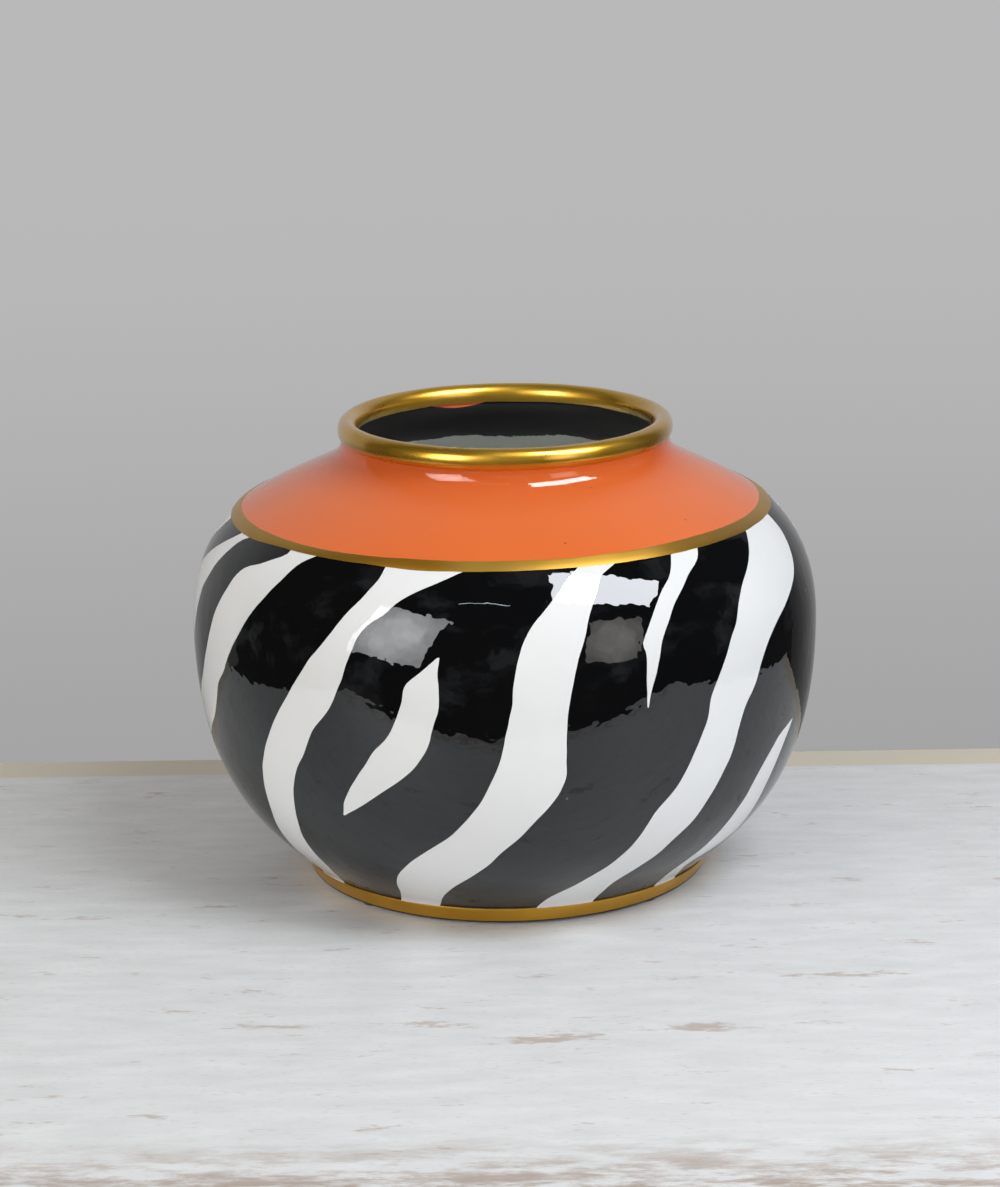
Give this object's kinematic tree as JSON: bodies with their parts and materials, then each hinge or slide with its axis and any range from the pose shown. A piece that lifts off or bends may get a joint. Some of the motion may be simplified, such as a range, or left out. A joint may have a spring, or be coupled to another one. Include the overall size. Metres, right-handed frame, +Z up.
{
  "type": "vase",
  "caption": "Wide round vase with a foot ring, striped bowl body, gold line, sloping shoulder, short neck and rolled rim, open at the top.",
  "frame": {"origin": "centre of the four pads' undersides, on the surface that the vase stands on", "axes": "+Z up along the turning axis; -Y is the side that faces the viewer in the picture, +X is to the viewer's right"},
  "size_m": [0.28, 0.28, 0.2073],
  "materials": {
    "foot_ring": "gloss",
    "lower_bowl": "gloss",
    "upper_bowl": "gloss",
    "shoulder_line": "gloss",
    "shoulder": "gloss",
    "neck_collar": "gloss",
    "rolled_rim": "gloss",
    "felt_pads": "matte",
    "white_stripes": "gloss"
  },
  "bodies": {
    "root": {"foot_ring": "foot_ring", "lower_bowl": "lower_bowl", "upper_bowl": "upper_bowl", "shoulder_line": "shoulder_line", "shoulder": "shoulder", "neck_collar": "neck_collar", "rolled_rim": "rolled_rim", "felt_pad_1": "felt_pads", "felt_pad_2": "felt_pads", "felt_pad_3": "felt_pads", "felt_pad_4": "felt_pads"}
  },
  "joints": []
}
